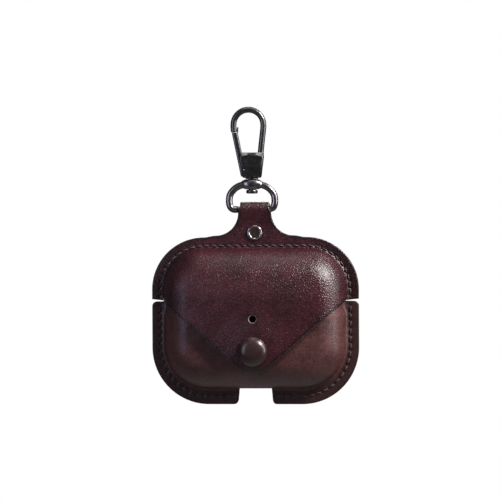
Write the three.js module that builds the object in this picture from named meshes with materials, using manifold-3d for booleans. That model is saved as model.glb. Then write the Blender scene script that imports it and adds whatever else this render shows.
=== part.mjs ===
// Moulded leather cover for the charging case of wireless earbuds, hung from a swivel snap hook.
// Millimetres, +Z up, front towards -Y. The design frame has z = 0 at the lowest edge of the leather rim
// and x = 0 at the middle of the cover. The exported group moves it so that the origin is the inside top
// of the hook's bow, which is what the cover hangs from.
import * as THREE from "three";
import { mergeVertices } from "three/addons/utils/BufferGeometryUtils.js";
import Module from "manifold-3d";

const wasm = await Module();
wasm.setup();

// Driving dimensions.
const RIM = { half: 36.4, low: 0, high: 58.2, lowR: 20, highR: 18 };
const DOME = { half: 31.9, low: 5.7, high: 54.7, lowR: 15.5, highR: 13.5 };
const RIM_FACE = 1.5; // distance of the rim's outer faces from the middle plane
const LEATHER = 1.3;
const LINING = 0.45;
const LINING_GAP = 0.1;
const DOME_RISE = 11.3; // the plateau stands this far out of the rim's face
const DOME_FILLET = 8;
const SPLIT_Z = 36.6; // the lid opens here
const SPLIT_GAP = 0.8;
const FLAP_LIFT = 2; // the flap and the lid's front edge lie this far outside the lower half
const TIP_LIFT = 1.4; // more lift round the snap
const TIP_LIFT_RAMP = 4.5; // height over which that lift grows
const LIFT_ENDS_Z = 52;
const LIFT_SPREAD = 0.3; // share of the lift by which the dome's wall also moves outwards
const FLAP_BEND_Z = 28.5; // the flap bends outwards along this line
const BEND_GAP = 0.3;
const FLAP_HALF = 31.4;
const FLAP_TIP_R = 8.4;
const FLAP_TIP_ABOVE_SNAP = 0.7; // the tip's round is centred this far above the snap
const FLAP_REACH = 27.5; // the V stops this far out, short of the slits
const FLAP_LINING = { inset: 0.2, reach: 25 };
const SNAP_Z = 19.2;
const LIGHT_HOLE_Z = 30.4;
const LIGHT_HOLE_R = 1.25;
const CAP_HOLE_R = 1.75; // through the flap for the cap's shank
const POST_HOLE_R = 1.3; // through the lower half for the stud's post
const POST_FLANGE_HOLE_R = 4.2; // in the lining, round the post's flange
const NOTCH = { top: 5.6, halfTop: 5.8, halfLow: 6.2 };
const PORT = { half: 5.4, depth: 3.6, high: 10 };
const BAR_Z = 68.5; // axis of the ring's bar, inside the folded tab
const WIRE_R = 1.25;
const TAB_HALF = 5.1;
const TAB_INNER_R = 1.35;
const TAB_WAIST = 5.8; // half width where the flare begins
const TAB_FLARE_R = 7.5;
const TAB_BEND_Z = 62.6; // the legs part from each other above here
const RIVET_HOLE_R = 1.25;
const RIVET_Z = 60.2;
const HOOK_X = -1; // the ring and hook hang a little to the left, as far as the tab's slack lets them
const BOW_INSIDE_TOP_Z = 102.5;
const HOOK_WIRE_R = 1.07;
const BOSS = { low: 75.55, high: 79.1, half: 4.2, depth: 2.3, round: 1.2 };
const BLOCK = { low: 79.6, high: 88.5, halfLow: 3.4, halfHigh: 4.2, depth: 2.5 };
const POST_R = 1.25;
const PIN = { x: -3, z: 82.2, r: 0.5 }; // x from the hook's axis
const GATE = { half: 1, depth: 1, lean: 0.176, low: 80, shoulder: 95.5, high: 97.6 };
const SLOT_DEPTH = 1.2;
const SPRING = { z: 85.6, from: -2.3, to: 1.3, r: 0.5, wireR: 0.14, turns: 4.5 };
const BOW = { x: -1.15, z: 98.3 }; // centre of the bow's arc
const THREAD_R = 0.3;
const STITCH_INSET = 2.9;
const SEAM_ENDS = 1.7; // the seams end this far from the middle of the slits
const ROUND_STEPS = 16;
const CORNER_STEPS = 6;

// Materials.
const finish = (color, roughness, metalness) =>
  new THREE.MeshStandardMaterial({ color, roughness, metalness });
const leather = finish(0x3c2328, 0.42, 0);
const suede = finish(0x2c1d20, 0.95, 0);
const thread = finish(0x3a2226, 0.7, 0);
const snapEnamel = finish(0x46373a, 0.3, 0.4);
const blackNickel = finish(0x232323, 0.22, 1);
const gunmetal = finish(0x4a474a, 0.2, 1);
const springSteel = finish(0x8c8c8c, 0.3, 1);

// Solid modelling helpers.
function solidOf(geometry) {
  const bare = geometry.index ? geometry.toNonIndexed() : geometry.clone();
  bare.deleteAttribute("normal");
  bare.deleteAttribute("uv");
  const merged = mergeVertices(bare, 1e-4);
  return new wasm.Manifold(
    new wasm.Mesh({
      numProp: 3,
      vertProperties: merged.attributes.position.array,
      triVerts: new Uint32Array(merged.index.array),
    }),
  );
}

function geometryOf(solid) {
  const mesh = solid.getMesh();
  const geometry = new THREE.BufferGeometry();
  geometry.setAttribute("position", new THREE.BufferAttribute(mesh.vertProperties, 3));
  geometry.setIndex(new THREE.BufferAttribute(mesh.triVerts, 1));
  geometry.computeVertexNormals();
  return geometry;
}

function box(x0, x1, y0, y1, z0, z1) {
  const geometry = new THREE.BoxGeometry(x1 - x0, y1 - y0, z1 - z0);
  geometry.translate((x0 + x1) / 2, (y0 + y1) / 2, (z0 + z1) / 2);
  return solidOf(geometry);
}

// A round bar along X, Y or Z, centred on the given point.
function bar(axis, radius, length, x, y, z, steps = ROUND_STEPS) {
  const geometry = new THREE.CylinderGeometry(radius, radius, length, steps);
  if (axis === "x") geometry.rotateZ(Math.PI / 2);
  if (axis === "z") geometry.rotateX(Math.PI / 2);
  geometry.translate(x, y, z);
  return solidOf(geometry);
}

// A shape drawn in x and z, extruded from y0 (front) to y1.
function frontPrism(shape, y0, y1, curveSegments = 8) {
  const geometry = new THREE.ExtrudeGeometry(shape, {
    depth: y1 - y0,
    bevelEnabled: false,
    curveSegments,
  });
  geometry.rotateX(Math.PI / 2);
  geometry.translate(0, y1, 0);
  return solidOf(geometry);
}

// A profile of (radius, distance) pairs turned about an axis along Y at (x, z). Distance 0 is at y = 0 and
// grows towards the front.
function turnedForward(profile, x, z, steps = ROUND_STEPS) {
  const geometry = new THREE.LatheGeometry(profile.map(([r, d]) => new THREE.Vector2(r, d)), steps);
  geometry.rotateX(Math.PI);
  geometry.translate(x, 0, z);
  return solidOf(geometry);
}

function tube(curve, radius, steps, sides) {
  const section = new THREE.Shape();
  for (let i = 0; i < sides; i++) {
    const angle = (2 * Math.PI * i) / sides;
    const [x, y] = [radius * Math.cos(angle), radius * Math.sin(angle)];
    if (i === 0) section.moveTo(x, y);
    else section.lineTo(x, y);
  }
  return solidOf(new THREE.ExtrudeGeometry(section, { steps, extrudePath: curve }));
}

const mirrorY = (solid) => solid.mirror([0, 1, 0]);
const degrees = (value) => (value * Math.PI) / 180;

// Points round a rectangle with rounded corners, each with its outward direction.
function edgePoints({ half, low, high, lowR, highR }) {
  const corners = [
    { x: half - lowR, z: low + lowR, r: lowR, from: -90 },
    { x: half - highR, z: high - highR, r: highR, from: 0 },
    { x: highR - half, z: high - highR, r: highR, from: 90 },
    { x: lowR - half, z: low + lowR, r: lowR, from: 180 },
  ];
  const arcs = corners.map((corner) =>
    Array.from({ length: CORNER_STEPS + 1 }, (_, i) => {
      const angle = degrees(corner.from + (90 * i) / CORNER_STEPS);
      const [nx, nz] = [Math.cos(angle), Math.sin(angle)];
      return { x: corner.x + corner.r * nx, z: corner.z + corner.r * nz, nx, nz };
    }),
  );
  // Each side also has a point level with the split, and the top and bottom one in the middle.
  return arcs.flatMap((arc, i) => {
    const start = arc.at(-1);
    const between = start.nz === 0 || Math.abs(start.nx) > 0.5
      ? { ...start, z: SPLIT_Z }
      : { ...start, x: 0 };
    return [...arc, between];
  });
}

const rimEdge = edgePoints(RIM);
const domeEdge = edgePoints(DOME);
const WALL_SLOPES = [0, 22.5, 45, 67.5, 90];
const PLATEAU_RINGS = [0.66, 0.33]; // shares of the plateau's size
const LINING_STARTS = 0.45; // share of the way up the wall's first facet
const DOME_MIDDLE = (DOME.low + DOME.high) / 2;

// One side of a moulded half. offset moves the whole surface out of the leather's outer face, and
// lift(z) raises the dome but not the rim. flange false leaves the rim off and starts up the dome's wall.
function mouldedSurface({ offset, lift, flange }) {
  const base = RIM_FACE + offset;
  const wallRing = (slope) => domeEdge.map((p) => {
    const raised = lift(p.z - p.nz * DOME_FILLET);
    const out = offset + LIFT_SPREAD * raised;
    const inset = (DOME_FILLET + out) * (1 - Math.cos(degrees(slope))) - out;
    const y = base + (DOME_RISE + raised) * Math.sin(degrees(slope));
    return [p.x - p.nx * inset, -y, p.z - p.nz * inset];
  });
  const [foot, ...wall] = WALL_SLOPES.map(wallRing);
  const partWayUp = foot.map((point, i) => point.map((value, axis) => (
    THREE.MathUtils.lerp(value, wall[0][i][axis], LINING_STARTS)
  )));
  const start = flange ? [rimEdge.map((p) => [p.x, -base, p.z]), foot] : [partWayUp];
  const rings = [...start, ...wall];
  const edge = rings.at(-1);
  for (const share of PLATEAU_RINGS) {
    rings.push(
      edge.map(([x, , z]) => {
        const height = DOME_MIDDLE + share * (z - DOME_MIDDLE);
        const y = base + DOME_RISE + lift(height);
        return [share * x, -y, height];
      }),
    );
  }
  const centre = [0, -(base + DOME_RISE + lift(DOME_MIDDLE)), DOME_MIDDLE];
  return { rings, centre };
}

// The closed solid between an outer and an inner surface.
function mouldedShell(outer, inner) {
  const positions = [];
  const count = outer.rings[0].length;
  const put = (...corners) => corners.forEach((corner) => positions.push(...corner));
  const skin = ({ rings, centre }, facing) => {
    const face = (a, b, c) => (facing ? put(a, b, c) : put(a, c, b));
    for (let i = 0; i < count; i++) {
      const next = (i + 1) % count;
      for (let k = 0; k + 1 < rings.length; k++) {
        face(rings[k][i], rings[k][next], rings[k + 1][next]);
        face(rings[k][i], rings[k + 1][next], rings[k + 1][i]);
      }
      face(rings.at(-1)[i], rings.at(-1)[next], centre);
    }
  };
  skin(outer, true);
  skin(inner, false);
  for (let i = 0; i < count; i++) {
    const next = (i + 1) % count;
    const [a, b] = [outer.rings[0][i], outer.rings[0][next]];
    const [c, d] = [inner.rings[0][i], inner.rings[0][next]];
    put(b, a, c);
    put(b, c, d);
  }
  const geometry = new THREE.BufferGeometry();
  geometry.setAttribute("position", new THREE.BufferAttribute(new Float32Array(positions), 3));
  return solidOf(geometry);
}

const noLift = () => 0;
const smooth = (t) => {
  const s = Math.min(Math.max(t, 0), 1);
  return s * s * (3 - 2 * s);
};
// The lid's front and the flap are one leather: level with the cover's top, then raised over
// the lower half.
const frontLift = (z) => (
  FLAP_LIFT * smooth((LIFT_ENDS_Z - z) / (LIFT_ENDS_Z - SPLIT_Z))
  + TIP_LIFT * smooth((FLAP_BEND_Z + 1 - z) / TIP_LIFT_RAMP)
);

function leatherShell(lift) {
  return mouldedShell(
    mouldedSurface({ offset: 0, lift, flange: true }),
    mouldedSurface({ offset: -LEATHER, lift, flange: true }),
  );
}

function liningShell(lift) {
  const top = -LEATHER - LINING_GAP;
  return mouldedShell(
    mouldedSurface({ offset: top, lift, flange: false }),
    mouldedSurface({ offset: top - LINING, lift, flange: false }),
  );
}

// Cutting solids.
const FAR = 90;
const above = (z) => box(-FAR, FAR, -FAR, FAR, z, z + FAR * 2);
const below = (z) => box(-FAR, FAR, -FAR, FAR, z - FAR * 2, z);
const lidSpace = above(SPLIT_Z + SPLIT_GAP / 2);
const lowerSpace = below(SPLIT_Z - SPLIT_GAP / 2);

function flapShape(margin) {
  const centreZ = SNAP_Z + FLAP_TIP_ABOVE_SNAP;
  const top = SPLIT_Z + 1;
  const half = FLAP_HALF - margin;
  const radius = FLAP_TIP_R - margin;
  const reach = Math.hypot(half, top - centreZ);
  const tangent = Math.atan2(top - centreZ, half) + Math.asin(radius / reach) - Math.PI / 2;
  const shape = new THREE.Shape();
  shape.moveTo(half, top);
  shape.lineTo(-half, top);
  shape.absarc(0, centreZ, radius, Math.PI - tangent, 2 * Math.PI + tangent, false);
  shape.closePath();
  return shape;
}
// The V stops short of the slits, where the lower half's wall leaves no room for its full thickness.
const flapPrism = (margin, reach) => (
  frontPrism(flapShape(margin), -FAR / 2, 0, 7).intersect(box(-reach, reach, -FAR, FAR, 0, FAR))
);

const notchShape = new THREE.Shape([
  new THREE.Vector2(-NOTCH.halfLow, -1),
  new THREE.Vector2(NOTCH.halfLow, -1),
  new THREE.Vector2(NOTCH.halfTop, NOTCH.top),
  new THREE.Vector2(-NOTCH.halfTop, NOTCH.top),
]);
const notch = frontPrism(notchShape, -5, 5).add(
  box(-PORT.half, PORT.half, -PORT.depth, PORT.depth, NOTCH.top - 1, PORT.high),
);
const frontHole = (radius, z) => bar("y", radius, 20, 0, -14, z, 12);
const lightHole = frontHole(LIGHT_HOLE_R, LIGHT_HOLE_Z);

// The tab: flared foot, front leg, fold over the ring's bar and back leg, seen from the side.
function tabSolid() {
  const side = new THREE.Shape();
  const legIn = RIM_FACE - LEATHER;
  const outerR = TAB_INNER_R + LEATHER;
  side.moveTo(-RIM_FACE, RIM.high - 1.2);
  side.lineTo(-legIn, RIM.high - 1.2);
  side.lineTo(-legIn, TAB_BEND_Z);
  side.absarc(0, BAR_Z, TAB_INNER_R, Math.PI, 0, true);
  side.lineTo(legIn, TAB_BEND_Z);
  side.lineTo(legIn, RIM.high + 0.4);
  side.lineTo(RIM_FACE, RIM.high + 0.4);
  side.lineTo(RIM_FACE, TAB_BEND_Z);
  side.absarc(0, BAR_Z, outerR, 0, Math.PI, false);
  side.lineTo(-RIM_FACE, TAB_BEND_Z);
  side.closePath();
  const loop = new THREE.ExtrudeGeometry(side, { depth: 40, bevelEnabled: false, curveSegments: 8 });
  // The side view is drawn in y and z, and extruded along x.
  loop.applyMatrix4(new THREE.Matrix4().makeBasis(
    new THREE.Vector3(0, 1, 0),
    new THREE.Vector3(0, 0, 1),
    new THREE.Vector3(1, 0, 0),
  ));
  loop.translate(-20, 0, 0);

  const front = new THREE.Shape();
  const flareX = TAB_WAIST + TAB_FLARE_R;
  const flareZ = RIM.high + TAB_FLARE_R - 0.4; // a little low, so that the arc crosses the rim's top
  front.moveTo(-flareX, RIM.high - 2);
  front.lineTo(flareX, RIM.high - 2);
  front.absarc(flareX, flareZ, TAB_FLARE_R, -Math.PI / 2, Math.PI, true);
  front.lineTo(TAB_HALF, BAR_Z);
  front.lineTo(TAB_HALF, BAR_Z + 4);
  front.lineTo(-TAB_HALF, BAR_Z + 4);
  front.lineTo(-TAB_HALF, BAR_Z);
  front.absarc(-flareX, flareZ, TAB_FLARE_R, 0, -Math.PI / 2, true);
  front.closePath();
  return solidOf(loop)
    .intersect(frontPrism(front, -5, 5, 6))
    .subtract(box(-30, -TAB_WAIST, 0, 5, 50, flareZ))
    .subtract(box(TAB_WAIST, 30, 0, 5, 50, flareZ))
    .subtract(bar("y", RIVET_HOLE_R, 20, 0, 0, RIVET_Z, 12));
}

// Leather and lining pieces.
const lowerFrontShell = leatherShell(noLift);
const backShell = mirrorY(leatherShell(noLift));
const flapSpace = below(FLAP_BEND_Z - BEND_GAP / 2);
const lidFrontSpace = (v) => lidSpace.add(v.intersect(above(FLAP_BEND_Z + BEND_GAP / 2)));
const flapLeather = flapPrism(0, FLAP_REACH);
const flapSuede = flapPrism(FLAP_LINING.inset, FLAP_LINING.reach);

const pieces = {
  lid_front_panel: () => leatherShell(frontLift)
    .intersect(lidFrontSpace(flapLeather))
    .add(tabSolid())
    .subtract(lightHole),
  closure_flap: () => leatherShell(frontLift)
    .intersect(flapLeather)
    .intersect(flapSpace)
    .subtract(frontHole(CAP_HOLE_R, SNAP_Z)),
  lid_back_panel: () => backShell.intersect(lidSpace),
  lower_front_panel: () => lowerFrontShell
    .intersect(lowerSpace)
    .subtract(notch)
    .subtract(lightHole)
    .subtract(frontHole(POST_HOLE_R, SNAP_Z)),
  lower_back_panel: () => backShell.intersect(lowerSpace).subtract(notch),
  lid_front_lining: () => liningShell(frontLift)
    .intersect(lidFrontSpace(flapSuede))
    .subtract(lightHole),
  flap_lining: () => liningShell(frontLift)
    .intersect(flapSuede)
    .intersect(flapSpace)
    .subtract(frontHole(CAP_HOLE_R, SNAP_Z)),
  lid_back_lining: () => mirrorY(liningShell(noLift)).intersect(lidSpace),
  lower_front_lining: () => liningShell(noLift)
    .intersect(lowerSpace)
    .subtract(notch)
    .subtract(lightHole)
    .subtract(frontHole(POST_FLANGE_HOLE_R, SNAP_Z)),
  lower_back_lining: () => mirrorY(liningShell(noLift)).intersect(lowerSpace).subtract(notch),
};

// Snap: cap and socket on the flap, stud and post on the lower half.
const LOWER_FACE = RIM_FACE + DOME_RISE; // front of the lower half under the snap
const FLAP_FACE = LOWER_FACE + FLAP_LIFT + TIP_LIFT;
const SOCKET_SEAT = FLAP_FACE - LEATHER - LINING_GAP - LINING;

function snapCap() {
  const seat = FLAP_FACE + 0.12;
  return turnedForward([
    [0, SOCKET_SEAT - 0.3],
    [1.4, SOCKET_SEAT - 0.3],
    [1.4, seat],
    [4.9, seat],
    [5.1, seat + 0.35],
    [4.9, seat + 0.9],
    [4.1, seat + 1.4],
    [2.4, seat + 1.75],
    [0, seat + 1.85],
  ], 0, SNAP_Z, 20);
}

function snapSocket() {
  const seat = SOCKET_SEAT - 0.12;
  const low = LOWER_FACE + 0.15;
  return turnedForward([
    [1.6, seat],
    [1.6, seat - 0.25],
    [3.35, seat - 0.25],
    [3.35, seat - 0.4],
    [3.9, seat - 0.4],
    [3.9, low + 0.25],
    [3.35, low + 0.25],
    [3.35, low],
    [4.3, low],
    [4.6, low + 0.3],
    [4.6, seat],
    [1.6, seat],
  ], 0, SNAP_Z);
}

function socketSpring() {
  const middle = (SOCKET_SEAT - 0.52 + LOWER_FACE + 0.4) / 2;
  const half = 0.16;
  return turnedForward([
    [3.45, middle - half],
    [3.8, middle - half],
    [3.8, middle + half],
    [3.45, middle + half],
    [3.45, middle - half],
  ], 0, SNAP_Z);
}

function snapStud() {
  const foot = LOWER_FACE + 0.08;
  return turnedForward([
    [1.15, foot],
    [2.8, foot],
    [2.8, foot + 0.22],
    [1.5, foot + 0.22],
    [1.5, foot + 0.5],
    [1.75, foot + 0.75],
    [1.4, foot + 1],
    [0, foot + 1],
    [0, foot + 0.8],
    [1.15, foot + 0.8],
    [1.15, foot],
  ], 0, SNAP_Z);
}

function snapPost() {
  const inside = RIM_FACE + DOME_RISE - LEATHER - 0.1;
  return turnedForward([
    [0, inside - 0.42],
    [3.9, inside - 0.42],
    [3.9, inside],
    [1, inside],
    [1, LOWER_FACE + 0.7],
    [0, LOWER_FACE + 0.7],
  ], 0, SNAP_Z);
}

// Rivet that closes the tab.
function rivetCap() {
  const seat = RIM_FACE + 0.1;
  return turnedForward([
    [0, -RIM_FACE - 0.55],
    [1, -RIM_FACE - 0.55],
    [1, seat],
    [2.7, seat],
    [2.7, seat + 0.35],
    [2.4, seat + 0.65],
    [1.9, seat + 0.6],
    [1.6, seat + 0.35],
    [0, seat + 0.3],
  ], 0, RIVET_Z);
}

function rivetBack() {
  const seat = RIM_FACE + 0.1;
  return turnedForward([
    [0, -seat - 0.75],
    [2, -seat - 0.75],
    [2.7, -seat - 0.3],
    [2.7, -seat],
    [1.15, -seat],
    [1.15, -seat - 0.55],
    [0, -seat - 0.55],
  ], 0, RIVET_Z);
}

// Threads: one closed-ended run of thread lies on each face of the rim along each seam.
function seamThread(points, face) {
  const inset = points.map((p) => new THREE.Vector3(
    p.x - p.nx * STITCH_INSET,
    face * (RIM_FACE + THREAD_R + 0.12),
    p.z - p.nz * STITCH_INSET,
  ));
  return tube(new THREE.CatmullRomCurve3(inset), THREAD_R, inset.length * 2, 4);
}

// A lower seam: from beside the notch, round the corner and up to the slit.
function lowerSeam(side) {
  const top = SPLIT_Z - SEAM_ENDS;
  const foot = { x: NOTCH.halfLow + 3.5, z: 0, nx: 0, nz: -1 };
  const corner = { x: RIM.half - RIM.lowR, z: 0, nx: 0, nz: -1 };
  const rising = rimEdge.filter((p) => p.x > 0 && p.z > 1 && p.z < top - 1);
  const end = { x: RIM.half, z: top, nx: 1, nz: 0 };
  return [foot, corner, ...rising, end].map((p) => ({ ...p, x: side * p.x, nx: side * p.nx }));
}

// The lid's seam: from the right slit over the top to the left slit.
function lidSeam() {
  const low = SPLIT_Z + SEAM_ENDS;
  const side = rimEdge.filter((p) => p.x > 0 && p.z > low + 1 && p.z < RIM.high - 0.01);
  const start = { x: RIM.half, z: low, nx: 1, nz: 0 };
  const right = [start, ...side];
  const left = right.map((p) => ({ ...p, x: -p.x, nx: -p.nx })).reverse();
  const top = [1, 0.4, -0.4, -1].map((share) => ({
    x: share * (RIM.half - RIM.highR), z: RIM.high, nx: 0, nz: 1,
  }));
  return [...right, ...top, ...left];
}

// Ring with its boss.
function swivelRing() {
  const half = [
    [5.2, BAR_Z],
    [6.2, BAR_Z],
    [7.5, 69.3],
    [8.05, 71.4],
    [7.6, 74],
    [5.7, 76.1],
    [3, 77.3],
  ];
  const mirrored = half.map(([x, z]) => [-x, z]).reverse();
  const path = new THREE.CatmullRomCurve3(
    [...mirrored, ...half].map(([x, z]) => new THREE.Vector3(HOOK_X + x, 0, z)),
  );
  const shape = new THREE.Shape();
  const middle = (BOSS.low + BOSS.high) / 2;
  const [left, right] = [HOOK_X - BOSS.half, HOOK_X + BOSS.half];
  shape.moveTo(left + BOSS.round, BOSS.low);
  shape.lineTo(right - BOSS.round, BOSS.low);
  shape.quadraticCurveTo(right, BOSS.low, right, middle);
  shape.quadraticCurveTo(right, BOSS.high, right - BOSS.round, BOSS.high);
  shape.lineTo(left + BOSS.round, BOSS.high);
  shape.quadraticCurveTo(left, BOSS.high, left, middle);
  shape.quadraticCurveTo(left, BOSS.low, left + BOSS.round, BOSS.low);
  return tube(path, WIRE_R, 44, 12)
    .add(frontPrism(shape, -BOSS.depth, BOSS.depth, 3))
    .subtract(bar("z", POST_R + 0.12, 10, HOOK_X, 0, middle));
}

// Post: head inside the ring, collar between boss and block, shank in the block.
function swivelPost() {
  const profile = [
    [0, BOSS.low - 1.5],
    [1.7, BOSS.low - 1.5],
    [2.05, BOSS.low - 1.15],
    [2.05, BOSS.low - 0.25],
    [1.9, BOSS.low - 0.12],
    [POST_R, BOSS.low - 0.12],
    [POST_R, BOSS.high + 0.1],
    [2.3, BOSS.high + 0.1],
    [2.3, BLOCK.low - 0.1],
    [POST_R, BLOCK.low - 0.1],
    [POST_R, BLOCK.low + 2.8],
    [0, BLOCK.low + 2.8],
  ];
  const geometry = new THREE.LatheGeometry(profile.map(([r, z]) => new THREE.Vector2(r, z)), ROUND_STEPS);
  geometry.rotateX(Math.PI / 2);
  geometry.translate(HOOK_X, 0, 0);
  return solidOf(geometry);
}

// Hook: block with a slot for the gate, leg, bow and nose.
const gateX = (z) => PIN.x - (z - PIN.z) * GATE.lean;

function hookFrame() {
  const block = new THREE.Shape([
    [-BLOCK.halfLow, BLOCK.low],
    [BLOCK.halfLow - 0.6, BLOCK.low],
    [BLOCK.halfLow, BLOCK.low + 1],
    [BLOCK.halfHigh, BLOCK.high],
    [-BLOCK.halfHigh + 0.3, BLOCK.high],
    [-BLOCK.halfHigh, BLOCK.high - 1],
  ].map(([x, z]) => new THREE.Vector2(HOOK_X + x, z)));
  const slot = new THREE.Shape([
    [-8, 79], [-2, 79], [-1.75, 81.6], [-0.2, 89.5], [-8, 89.5],
  ].map(([x, z]) => new THREE.Vector2(HOOK_X + x, z)));
  const bowR = BOW_INSIDE_TOP_Z + HOOK_WIRE_R - BOW.z;
  const onBow = (angle) => [
    BOW.x + bowR * Math.cos(degrees(angle)),
    BOW.z + bowR * Math.sin(degrees(angle)),
  ];
  const leg = [[3.05, 87], [3.3, 90], [3.75, 94], [4.1, 97]];
  const nose = [[-6.42, 98.2], [-6.25, 95.8]];
  const wire = [...leg, ...[25, 58, 90, 122, 155].map(onBow), ...nose].map(
    ([x, z]) => new THREE.Vector3(HOOK_X + x, 0, z),
  );
  const lip = box(HOOK_X + gateX(96.5) - 0.15, HOOK_X - 2, -3, 3, 94, GATE.high + 0.3);
  return frontPrism(block, -BLOCK.depth, BLOCK.depth)
    .subtract(frontPrism(slot, -SLOT_DEPTH, SLOT_DEPTH))
    .add(tube(new THREE.CatmullRomCurve3(wire), HOOK_WIRE_R, 40, 10))
    .subtract(lip)
    .subtract(bar("z", POST_R + 0.1, 6, HOOK_X, 0, BLOCK.low))
    .subtract(bar("y", PIN.r + 0.1, 10, HOOK_X + PIN.x, 0, PIN.z, 12))
    .subtract(bar("x", SPRING.r + 0.35, 3.2, HOOK_X, 0, SPRING.z, 12));
}

function hookGate() {
  const corner = (side, z) => new THREE.Vector2(HOOK_X + gateX(z) + side * GATE.half, z);
  const shape = new THREE.Shape([
    corner(-1, GATE.low),
    corner(0.6, GATE.low),
    corner(1, GATE.low + 1),
    corner(1, GATE.high - 0.1),
    corner(0.15, GATE.high),
    corner(0.15, GATE.shoulder),
    corner(-1, GATE.shoulder),
  ]);
  return frontPrism(shape, -GATE.depth, GATE.depth)
    .subtract(bar("y", PIN.r + 0.08, 10, HOOK_X + PIN.x, 0, PIN.z, 12));
}

const gatePin = () => bar("y", PIN.r, 2 * BLOCK.depth + 0.1, HOOK_X + PIN.x, 0, PIN.z, 12);

function gateSpring() {
  class Coil extends THREE.Curve {
    getPoint(t, target = new THREE.Vector3()) {
      const angle = 2 * Math.PI * SPRING.turns * t;
      const x = HOOK_X + THREE.MathUtils.lerp(SPRING.from, SPRING.to, t);
      return target.set(x, SPRING.r * Math.cos(angle), SPRING.z + SPRING.r * Math.sin(angle));
    }
  }
  return tube(new Coil(), SPRING.wireR, 45, 4);
}

const metalPieces = {
  snap_cap: snapCap,
  snap_socket: snapSocket,
  snap_socket_spring: socketSpring,
  snap_stud: snapStud,
  snap_post: snapPost,
  rivet_cap: rivetCap,
  rivet_back: rivetBack,
  swivel_ring: swivelRing,
  swivel_post: swivelPost,
  hook_frame: hookFrame,
  hook_gate: hookGate,
  gate_pin: gatePin,
  gate_spring: gateSpring,
};

const threads = {
  lid_needle_thread: () => seamThread(lidSeam(), -1),
  lid_bobbin_thread: () => seamThread(lidSeam(), 1),
  lower_left_needle_thread: () => seamThread(lowerSeam(-1), -1),
  lower_left_bobbin_thread: () => seamThread(lowerSeam(-1), 1),
  lower_right_needle_thread: () => seamThread(lowerSeam(1), -1),
  lower_right_bobbin_thread: () => seamThread(lowerSeam(1), 1),
};

const materialOf = (name) => {
  if (name.endsWith("thread")) return thread;
  if (name.endsWith("lining")) return suede;
  if (name.endsWith("panel") || name.endsWith("flap")) return leather;
  if (name.endsWith("spring")) return springSteel;
  if (name === "swivel_ring") return gunmetal;
  if (name === "snap_cap") return snapEnamel;
  return blackNickel;
};

const cover = new THREE.Group();
cover.position.set(-HOOK_X, 0, -BOW_INSIDE_TOP_Z);
for (const [name, make] of Object.entries({ ...pieces, ...metalPieces, ...threads })) {
  const mesh = new THREE.Mesh(geometryOf(make()), materialOf(name));
  mesh.name = name;
  cover.add(mesh);
}

const part = new THREE.Group();
part.add(cover);
export default part;
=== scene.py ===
import math

import bmesh
import bpy
import numpy as np
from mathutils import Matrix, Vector
from mathutils.geometry import delaunay_2d_cdt


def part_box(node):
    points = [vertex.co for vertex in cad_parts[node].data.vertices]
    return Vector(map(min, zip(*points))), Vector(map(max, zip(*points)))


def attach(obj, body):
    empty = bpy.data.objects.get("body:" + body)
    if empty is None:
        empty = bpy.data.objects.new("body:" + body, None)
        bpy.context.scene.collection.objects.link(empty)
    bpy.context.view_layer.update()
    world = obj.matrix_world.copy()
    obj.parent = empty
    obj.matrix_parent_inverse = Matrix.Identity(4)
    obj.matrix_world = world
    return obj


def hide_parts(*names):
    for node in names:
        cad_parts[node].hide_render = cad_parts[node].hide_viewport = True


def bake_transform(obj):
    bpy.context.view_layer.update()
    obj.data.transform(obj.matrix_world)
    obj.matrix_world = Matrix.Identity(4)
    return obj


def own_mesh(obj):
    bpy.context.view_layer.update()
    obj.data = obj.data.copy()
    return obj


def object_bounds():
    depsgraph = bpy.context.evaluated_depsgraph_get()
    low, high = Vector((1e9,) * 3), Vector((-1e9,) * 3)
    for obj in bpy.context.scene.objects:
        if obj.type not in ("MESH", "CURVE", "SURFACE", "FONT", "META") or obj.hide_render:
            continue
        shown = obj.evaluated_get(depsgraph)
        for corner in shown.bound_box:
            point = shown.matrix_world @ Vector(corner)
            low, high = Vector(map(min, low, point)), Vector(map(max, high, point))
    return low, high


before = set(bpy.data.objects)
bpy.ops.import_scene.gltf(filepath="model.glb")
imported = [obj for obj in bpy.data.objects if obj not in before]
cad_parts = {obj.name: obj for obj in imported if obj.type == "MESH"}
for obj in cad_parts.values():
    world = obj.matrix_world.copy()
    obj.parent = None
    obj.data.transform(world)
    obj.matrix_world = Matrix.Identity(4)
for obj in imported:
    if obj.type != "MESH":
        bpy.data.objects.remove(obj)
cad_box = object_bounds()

MM = 0.001


def span(node):
    """A node's lowest and highest corner, in the row frame, in millimetres."""
    low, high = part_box(node)
    return np.array(low) / MM, np.array(high) / MM


# ---- sizes, from the frame
lower_low, lower_high = span("lower_back_panel")
lid_low, lid_high = span("lid_back_panel")
ORIGIN = np.array([(lower_low[0] + lower_high[0]) / 2, 0, lower_low[2]])
HALF = (lower_high[0] - lower_low[0]) / 2
LOWER_TOP = lower_high[2] - ORIGIN[2]
LID_LOW = lid_low[2] - ORIGIN[2]
SPLIT = (LOWER_TOP + LID_LOW) / 2
RIM_RISE = 0.5  # the leather's rim over the CAD's
RIM = dict(half=HALF, low=0.0, high=lid_high[2] - ORIGIN[2] + RIM_RISE, low_r=20.0, high_r=18.3)
DOME = dict(half=HALF - 4.5, low=5.5, high=RIM["high"] - 3.8, low_r=15.5, high_r=13.5)
RIM_FACE = 1.5
RISE = lower_high[1] - RIM_FACE
FILLET = 9.5
CROWN = 1.3
CROWN_MIDDLE_Z = 31
CROWN_REACH = (27, 25)
PLATEAU = dict(
    half=DOME["half"] - FILLET, low=DOME["low"] + FILLET, high=DOME["high"] - FILLET,
    low_r=DOME["low_r"] - FILLET, high_r=DOME["high_r"] - FILLET,
)
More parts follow.
